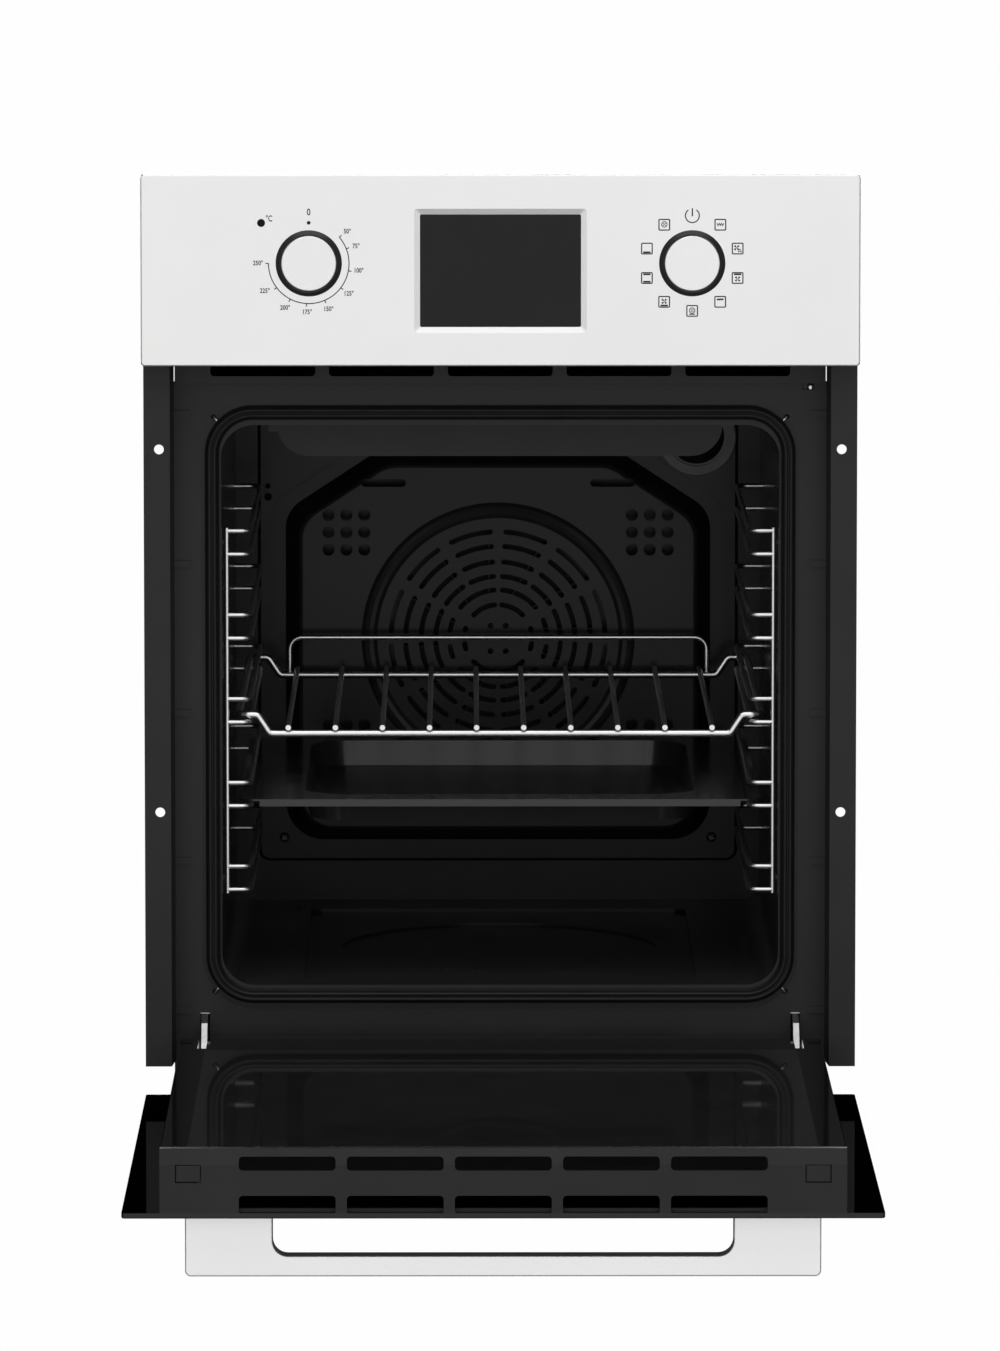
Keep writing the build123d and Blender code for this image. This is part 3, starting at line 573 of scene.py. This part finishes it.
dial = {"radius": 25.0, "tick": 1.9, "line": 0.62, "label": 2.9, "zero": 4.2, "zeroLift": 31.7,
        "dotLift": 25.2, "dot": 1.15, "unit": 3.8, "unitShift": (4.9, 2.6)}
warmth = {  # degrees on the scale: clockwise angle, then where its label stands
    50: (49.4, 24.0, 19.8), 75: (68.7, 29.4, 10.7), 100: (100.6, 31.0, -4.5),
    125: (127.3, 24.8, -18.8), 150: (156.7, 12.2, -28.4), 175: (183.1, -1.1, -30.3),
    200: (207.4, -14.7, -27.6), 225: (232.9, -27.3, -17.1), 250: (270.0, -31.5, 0.1),
}


def temperatureScale():
    p = Print(*knobCentre("temperature_knob"))
    angles = [place[0] for place in warmth.values()]
    p.stroke(turned(0, 0, dial["radius"], min(angles), max(angles), 56), dial["line"])
    for degrees, (angle, x, z) in warmth.items():
        inner = turned(0, 0, dial["radius"], angle, angle, 2)[0]
        outer = turned(0, 0, dial["radius"] + dial["tick"], angle, angle, 2)[0]
        p.stroke([inner, outer], dial["line"])
        p.words(str(degrees) + "°", x, z, dial["label"])
    p.disc(0, dial["dotLift"], dial["dot"])
    p.words("0", 0, dial["zeroLift"], dial["zero"])
    low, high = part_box("pilot_lens")
    x = ((low[0] + high[0]) / 2 - p.centre.x) / mm
    z = ((low[2] + high[2]) / 2 - p.centre.y) / mm
    right, up = dial["unitShift"]
    p.words("°C", x + right, z + up, dial["unit"], 0.72)
    p.done("temperatureScale")


icon = {"circle": 29.6, "half": 3.3, "corner": 0.5, "line": 0.72, "thick": 1.0, "power": 4.3, "gap": 35}
programmes = {  # clockwise angle: what is drawn inside the box
    36: ("zigzag",), 72: ("fanHigh", "drops"), 108: ("topBar", "fanLow"), 144: ("topWave",),
    180: ("ring", "lowLine"), 216: ("fan", "lowBar"), 252: ("topBar", "lowBar"), 288: ("lowBar",),
    324: ("ring",),
}


def fanMark(p, x, z, radius):
    for lean in (45, 135, 225, 315):
        tip = turned(x, z, radius, lean - 22, lean + 22, 4)
        p.patch([(x, z)] + tip)


def drawPart(p, part, x, z):
    reach = icon["half"] - 1.0
    if part == "zigzag":
        p.stroke([(x - 2.1 + 0.7 * k, z + (0.9 if k % 2 == 0 else -0.5)) for k in range(7)], 0.55)
    elif part == "topWave":
        p.stroke([(x - 2.1 + 0.6 * k, z + 1.5 + 0.25 * (-1) ** k) for k in range(8)], 0.8)
    elif part in ("topBar", "lowBar"):
        lift = reach if part == "topBar" else -reach
        p.stroke([(x - reach, z + lift), (x + reach, z + lift)], icon["thick"])
    elif part == "lowLine":
        p.stroke([(x - 1.8, z - 2.1), (x + 1.8, z - 2.1)], 0.6)
    elif part == "ring":
        p.stroke(turned(x, z + 0.2, 1.7, 0, 345, 24), 0.5, closed=True)
        fanMark(p, x, z + 0.2, 1.1)
    elif part == "drops":
        for dx, dz in ((1.5, -0.8), (0.7, -1.9), (2.0, -2.0)):
            p.disc(x + dx, z + dz, 0.5)
    else:
        lift = {"fan": 0.3, "fanLow": -0.6, "fanHigh": 0.5}[part]
        fanMark(p, x - (0.6 if part == "fanHigh" else 0), z + lift, 1.9)


def programmeScale():
    p = Print(*knobCentre("selector_knob"))
    top = icon["circle"]
    p.stroke(turned(0, top, icon["power"], icon["gap"], 360 - icon["gap"], 30), 0.7)
    p.stroke([(0, top - 0.4), (0, top + 4.6)], 0.75)
    half, corner = icon["half"], icon["corner"]
    for angle, parts in programmes.items():
        x, z = turned(0, 0, icon["circle"], angle, angle, 2)[0]
        outline = []
        for k, (sx, sz) in enumerate(((1, 1), (1, -1), (-1, -1), (-1, 1))):
            bend = 90 * k
            outline += turned(x + sx * (half - corner), z + sz * (half - corner), corner, bend, bend + 90, 4)
        p.stroke(outline, icon["line"], closed=True)
        for part in parts:
            drawPart(p, part, x, z)
    p.done("programmeScale")


temperatureScale()
programmeScale()
print("printed marks")


seal = {"corner": 21, "cornerSteps": 12, "foot": 9.3,
        "profile": [(0.2, 0.8), (0.2, -0.9), (1.2, -1.2), (1.3, -3.4), (1.8, -5.2), (2.7, -6.3), (3.6, -6.2),
                    (4.2, -5.2), (4.65, -4.6), (5.1, -5.2), (5.7, -6.2), (6.6, -6.3), (7.5, -5.2), (8.0, -3.4),
                    (8.1, -1.2), (9.1, -0.9), (9.1, 0.8)]}


def roundedPath(low, high, grow, y):
    # points round a rectangle of x and z, grown outwards on all sides
    radius = (seal["corner"] + grow) * mm
    corners = ((high[0], high[2]), (high[0], low[2]), (low[0], low[2]), (low[0], high[2]))
    points = []
    for k, (x, z) in enumerate(corners):
        side = 1 if k in (0, 1) else -1
        rise = 1 if k in (0, 3) else -1
        cx = x - side * seal["corner"] * mm
        cz = z - rise * seal["corner"] * mm
        for step in range(seal["cornerSteps"] + 1):
            angle = math.radians(90 * k + 90 * step / seal["cornerSteps"])
            points.append((cx + radius * math.sin(angle), y, cz + radius * math.cos(angle)))
    return points


def doorSeal():
    low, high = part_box("door_gasket")
    foot = seal["foot"] * mm
    inner = ((low[0] + foot, 0, low[2] + foot), (high[0] - foot, 0, high[2] - foot))
    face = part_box("front_frame")[0][1]
    build = bmesh.new()
    rings(build, [roundedPath(*inner, grow, face + depth * mm) for grow, depth in seal["profile"]])
    mesh = meshOf(build, "doorSeal")
    placed("doorSeal", mesh, finishes["gasket_grey"], "chassis", ["door_gasket"])


hook = {"radius": 0.9, "holeX": 179.6, "holeHeights": (77.0, 440.2), "front": -1.0, "reach": 2.2, "deep": 5}


def wireMesh(name, runs, radius):
    # round wire along straight runs, as one mesh
    curve = bpy.data.curves.new(name, "CURVE")
    curve.dimensions = "3D"
    curve.bevel_depth = radius
    curve.bevel_resolution = 3
    curve.use_fill_caps = True
    for run in runs:
        spline = curve.splines.new("POLY")
        spline.points.add(len(run) - 1)
        for point, place in zip(spline.points, run):
            point.co = (*place, 1)
    holder = bpy.data.objects.new(name, curve)
    bpy.context.scene.collection.objects.link(holder)
    mesh = bpy.data.meshes.new_from_object(holder.evaluated_get(bpy.context.evaluated_depsgraph_get()))
    bpy.data.objects.remove(holder)
    return mesh


def sealHooks():
    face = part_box("front_frame")[0][1]
    runs = []
    for side in (-1, 1):
        for z in hook["holeHeights"]:
            lean = hook["reach"] if z < 100 else -hook["reach"]
            x, front = side * hook["holeX"], face + hook["front"] * mm
            runs.append([(x * mm, face + hook["deep"] * mm, z * mm), (x * mm, front, z * mm),
                         ((x - side * hook["reach"]) * mm, front, (z + lean) * mm)])
    mesh = wireMesh("sealHooks", runs, hook["radius"] * mm)
    placed("sealHooks", mesh, finishes["bright_steel"], "chassis")


doorSeal()
sealHooks()
print("door seal and its hooks")


class Recipe(Graph):  # a Geometry Nodes tree with named sizes
    def __init__(self, name, sizes):
        self.tree = bpy.data.node_groups.new(name, "GeometryNodeTree")
        self.tree.interface.new_socket(name="Geometry", in_out="INPUT", socket_type="NodeSocketGeometry")
        self.tree.interface.new_socket(name="Geometry", in_out="OUTPUT", socket_type="NodeSocketGeometry")
        self.sizes = sizes
        for size in sizes:
            self.tree.interface.new_socket(name=size, in_out="INPUT", socket_type="NodeSocketFloat")
        self.given = self.tree.nodes.new("NodeGroupInput")

    def size(self, name):
        return Wire(self, self.given.outputs[name])

    def vector(self, x, y, z):
        return self.node("ShaderNodeCombineXYZ", {}, {0: x, 1: y, 2: z})

    def moved(self, geometry, shift=(0, 0, 0), turn=(0, 0, 0), scale=(1, 1, 1)):
        values = {"Geometry": geometry, "Translation": shift, "Rotation": turn, "Scale": scale}
        return self.node("GeometryNodeTransform", {}, values)

    def grow(self, geometry, start, finish):
        realized = self.node("GeometryNodeRealizeInstances", {}, {"Geometry": geometry})
        painted = self.node("GeometryNodeSetMaterial", {}, {"Geometry": realized, "Material": finish})
        output = self.tree.nodes.new("NodeGroupOutput")
        self.tree.links.new(painted.socket, output.inputs[0])
        holder = bpy.data.objects.new("holder", start)
        bpy.context.scene.collection.objects.link(holder)
        modifier = holder.modifiers.new("grow", "NODES")
        modifier.node_group = self.tree
        for item in self.tree.interface.items_tree:
            if item.name in self.sizes:
                modifier[item.identifier] = float(self.sizes[item.name])
        mesh = bpy.data.meshes.new_from_object(holder.evaluated_get(bpy.context.evaluated_depsgraph_get()))
        bpy.data.objects.remove(holder)
        return mesh


spring = {"turns": 24, "wire": 1.05, "perTurn": 14, "round": 8, "length": 120, "shift": 5, "rod": 2.2}


def hingeSprings():
    # two closed coils on their pull rods, one for each solid of the node
    boxes = solidBoxes("hinge_springs")
    points = bpy.data.meshes.new("springPlaces")
    points.from_pydata([(low + high) / 2 for low, high in boxes], [], [])
    low, high = boxes[0]
    sizes = {"Coil radius": (high[0] - low[0]) / 2 - spring["wire"] * mm, "Wire radius": spring["wire"] * mm,
             "Turns": spring["turns"], "Coil length": spring["length"] * mm,
             "Rod length": high[1] - low[1], "Rod radius": spring["rod"] * mm}
    r = Recipe("coilSpring", sizes)
    helix = r.node("GeometryNodeCurveSpiral", {}, {
        "Resolution": spring["perTurn"], "Rotations": r.size("Turns"), "Start Radius": r.size("Coil radius"),
        "End Radius": r.size("Coil radius"), "Height": r.size("Coil length")})
    ring = r.node("GeometryNodeCurvePrimitiveCircle", {}, {
        "Resolution": spring["round"], "Radius": r.size("Wire radius")})
    coil = r.node("GeometryNodeCurveToMesh", {}, {"Curve": helix, "Profile Curve": ring, "Fill Caps": True})
    coil = r.moved(coil, r.vector(0, 0, r.size("Coil length") * -0.5 - spring["shift"] * mm))
    shaft = r.node("GeometryNodeMeshCylinder", {}, {
        "Vertices": 16, "Radius": r.size("Rod radius"), "Depth": r.size("Rod length")})
    joined = r.tree.nodes.new("GeometryNodeJoinGeometry")
    r.tree.links.new(coil.socket, joined.inputs[0])
    r.tree.links.new(shaft.socket, joined.inputs[0])
    lying = r.moved(Wire(r, joined.outputs[0]), turn=(math.pi / 2, 0, 0))
    copies = r.node("GeometryNodeInstanceOnPoints", {}, {"Points": r.size("Geometry"), "Instance": lying})
    coils = r.grow(copies, points, springSteel)
    placed("hingeCoils", coils, springSteel, "door", ["hinge_springs"])


screw = {  # the recess and the dome are shares of the head; screws past rearFrom hold the rear panel
    "slotWidth": 0.16, "slotLength": 1.15, "slotDepth": 0.45, "dome": 1.18, "sides": 24, "seed": 7,
    "rearFrom": 0.48,
}


def screwHeads(name, boxes, facing, finish, body, replaced=()):
    # pan heads with a cross recess; facing is +1 where the heads look along +Y
    points = bpy.data.meshes.new(name + "Places")
    points.from_pydata([(low + high) / 2 for low, high in boxes], [], [])
    low, high = boxes[0]
    sizes = {"Head radius": (high[0] - low[0]) / 2, "Head height": high[1] - low[1]}
    r = Recipe(name, sizes)
    radius, height = r.size("Head radius"), r.size("Head height")
    drum = r.node("GeometryNodeMeshCylinder", {}, {
        "Vertices": screw["sides"], "Radius": radius, "Depth": height})
    ball = r.node("GeometryNodeMeshUVSphere", {}, {
        "Segments": screw["sides"], "Rings": 12, "Radius": radius * screw["dome"]})
    squash = height / (radius * screw["dome"])
    dome = r.moved(ball, shift=r.vector(0, 0, height * -0.5), scale=r.vector(1, 1, squash))
    head = r.tree.nodes.new("GeometryNodeMeshBoolean")
    head.operation = "INTERSECT"
    r.tree.links.new(drum.socket, head.inputs["Mesh 2"])
    r.tree.links.new(dome.socket, head.inputs["Mesh 2"])
    cut = r.tree.nodes.new("GeometryNodeMeshBoolean")
    r.tree.links.new(head.outputs["Mesh"], cut.inputs["Mesh 1"])
    for across in (0, math.pi / 2):
        bar = r.vector(radius * screw["slotLength"], radius * screw["slotWidth"] * 2,
                       height * screw["slotDepth"] * 2)
        blade = r.node("GeometryNodeMeshCube", {}, {"Size": bar})
        blade = r.moved(blade, shift=r.vector(0, 0, height * 0.5), turn=(0, 0, across))
        r.tree.links.new(blade.socket, cut.inputs["Mesh 2"])
    places = {"Points": r.size("Geometry"), "Instance": Wire(r, cut.outputs["Mesh"])}
    places["Rotation"] = (-facing * math.pi / 2, 0, 0)
    upright = r.node("GeometryNodeInstanceOnPoints", {}, places)
    draws = {2: 0.0, 3: 1.5, "Seed": screw["seed"]}
    spin = r.node("FunctionNodeRandomValue", {"data_type": "FLOAT"}, draws, out=1)
    spun = r.node("GeometryNodeRotateInstances", {}, {"Instances": upright, "Rotation": r.vector(0, 0, spin)})
    placed(name, r.grow(spun, points, finish), finish, body, replaced)


def ovenScrews():
    boxes = solidBoxes("casing_screws")
    behind = [box for box in boxes if box[0][1] > screw["rearFrom"]]
    inside = [box for box in boxes if box[0][1] < screw["rearFrom"]]
    screwHeads("rearScrews", behind, 1, finishes["bright_steel"], "chassis", ["casing_screws"])
    screwHeads("coverScrews", inside, -1, finishes["tray_enamel"], "chassis")


hingeSprings()
ovenScrews()
print("springs and screws")


lens = {"steps": 56, "ribs": 5, "ribDepth": 0.35, "wall": 1.8}


def lampLens():
    # shallow glass dome with rings pressed into its face, hollow behind
    low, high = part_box("lamp_lens")
    x, z = (low[0] + high[0]) / 2, (low[2] + high[2]) / 2
    radius, front, back = (high[0] - low[0]) / 2, low[1], high[1]
    outer = []
    faceSteps = lens["ribs"] * 6
    for k in range(1, faceSteps + 1):
        part = k / faceSteps
        rib = lens["ribDepth"] * mm * (0.5 - 0.5 * math.cos(math.tau * lens["ribs"] * part))
        outer.append((radius * 0.86 * part, front + rib + 2.2 * mm * part ** 4))
    outer += [(radius * 0.95, front + 4.0 * mm), (radius, front + 7.5 * mm), (radius, back)]
    wall = lens["wall"] * mm
    inner = [(radius - wall, back), (radius - wall, front + 8 * mm), (radius * 0.6, front + wall + 2 * mm),
             (0.5 * mm, front + wall + 0.6 * mm)]
    build = bmesh.new()
    loops = []
    for reach, y in outer + inner:
        angles = [math.tau * k / lens["steps"] for k in range(lens["steps"])]
        loops.append([(x + reach * math.cos(angle), y, z + reach * math.sin(angle)) for angle in angles])
    rings(build, loops, closed=False)
    mesh = meshOf(build, "lampDome")
    placed("lampDome", mesh, finishes["lamp_glass"], "chassis", ["lamp_lens"])


blanket = {"voxel": 5, "swell": 1.6, "tuft": 28, "settle": 1.6}


def insulationBlanket():
    # mineral wool pulled in a little and tufted, kept inside the space its plain solid holds
    source = nodes["insulation"].data.copy()
    holder = bpy.data.objects.new("blanketForm", source)
    bpy.context.scene.collection.objects.link(holder)
    weld = holder.modifiers.new("weld", "WELD")
    weld.merge_threshold = 0.00001
    remesh = holder.modifiers.new("remesh", "REMESH")
    remesh.mode = "VOXEL"
    remesh.voxel_size = blanket["voxel"] * mm
    mesh = bpy.data.meshes.new_from_object(holder.evaluated_get(bpy.context.evaluated_depsgraph_get()))
    bpy.data.objects.remove(holder)
    normals = [vertex.normal.copy() for vertex in mesh.vertices]
    for vertex, normal in zip(mesh.vertices, normals):
        tuft = noise.noise(vertex.co * blanket["tuft"]) + 0.5 * noise.noise(vertex.co * blanket["tuft"] * 4)
        vertex.co -= normal * (blanket["settle"] + blanket["swell"] * (0.5 + 0.5 * tuft)) * mm
    mesh.shade_smooth()
    wrap = finishes["insulation_wool"]
    piece = placed("woolBlanket", mesh, wrap, "chassis", ["insulation"])


lampLens()
insulationBlanket()
print("lamp lens and insulation")


viewpoint = {"place": (-0.0230, -6.238, 0.9589), "tilt": 83.791, "turn": -0.209, "lens": 267.38,
             "film": 36, "far": 600}
cameraData = bpy.data.cameras.new("camera")
cameraData.lens = viewpoint["lens"]
cameraData.sensor_width = viewpoint["film"]
cameraData.clip_end = viewpoint["far"]
camera = bpy.data.objects.new("camera", cameraData)
camera.location = viewpoint["place"]
camera.rotation_euler = (math.radians(viewpoint["tilt"]), 0, math.radians(viewpoint["turn"]))
bpy.context.scene.collection.objects.link(camera)
bpy.context.scene.camera = camera

softboxes = {  # one broad front box makes the look; the rest light the edges, sides, top and back
    "frontBox": {"place": (0.0, -7.4, 0.6), "aim": (0, 0, 0.6), "size": (10.0, 8.0), "power": 290},
    "overBox": {"place": (0.0, -2.0, 3.4), "aim": (0, 0, 0.2), "size": (4.0, 3.0), "power": 75},
    "leftBox": {"place": (-5.6, -4.6, 0.8), "aim": (0, 0, 0.4), "size": (3.0, 4.0), "power": 36},
    "rightBox": {"place": (5.6, -4.6, 0.8), "aim": (0, 0, 0.4), "size": (3.0, 4.0), "power": 36},
    "leftRear": {"place": (-3.6, 2.2, 1.6), "aim": (0, 0.2, 0.3), "size": (2.4, 2.4), "power": 60},
    "rightRear": {"place": (3.6, 2.2, 1.6), "aim": (0, 0.2, 0.3), "size": (2.4, 2.4), "power": 60},
    "backBox": {"place": (0.6, 4.2, 2.4), "aim": (0, 0.4, 0.3), "size": (3.5, 2.5), "power": 130},
}


def softbox(name, place, aim, size, power):
    lampData = bpy.data.lights.new(name, "AREA")
    lampData.shape = "RECTANGLE"
    lampData.size, lampData.size_y = size
    lampData.energy = power
    lamp = bpy.data.objects.new(name, lampData)
    lamp.location = place
    lamp.rotation_euler = (Vector(aim) - Vector(place)).to_track_quat("-Z", "Y").to_euler()
    bpy.context.scene.collection.objects.link(lamp)


for name, box in softboxes.items():
    softbox(name, **box)

room = {"floorHeight": -3.5, "floorHalf": 400, "floorGlow": 1.0, "pale": 0.99}
world = bpy.data.worlds.new("studio")
bpy.context.scene.world = world
world.use_nodes = True
backdrop = world.node_tree.nodes["Background"]  # pale beyond the floor, and lights nothing
backdrop.inputs["Color"].default_value = tone(room["pale"])
eye = world.node_tree.nodes.new("ShaderNodeLightPath")
world.node_tree.links.new(eye.outputs["Is Camera Ray"], backdrop.inputs["Strength"])
bpy.context.scene.view_settings.view_transform = "Standard"


def paleFloor():
    # pale to the eye, dim to the object, so that dark enamel stays dark
    half = room["floorHalf"]
    z = room["floorHeight"]
    corners = [(-half, -half, z), (half, -half, z), (half, half, z), (-half, half, z)]
    floorMesh = bpy.data.meshes.new("floor")
    floorMesh.from_pydata(corners, [], [(0, 1, 2, 3)])
    floor = bpy.data.objects.new("floor", floorMesh)
    bpy.context.scene.collection.objects.link(floor)
    f = Finish("paleFloor")
    cloud = f.noise(0.8, 2)
    matt = f.principled(Base_Color=f.between(cloud, tone(0.30), tone(0.34)), Roughness=0.9)
    glow = f.node("ShaderNodeEmission", {}, {"Color": tone(room["pale"]), "Strength": room["floorGlow"]})
    seen = f.node("ShaderNodeLightPath", out="Is Camera Ray")
    floorMesh.materials.append(f.done(f.mixed(seen, matt, glow)))


paleFloor()
print("camera, lights and floor")
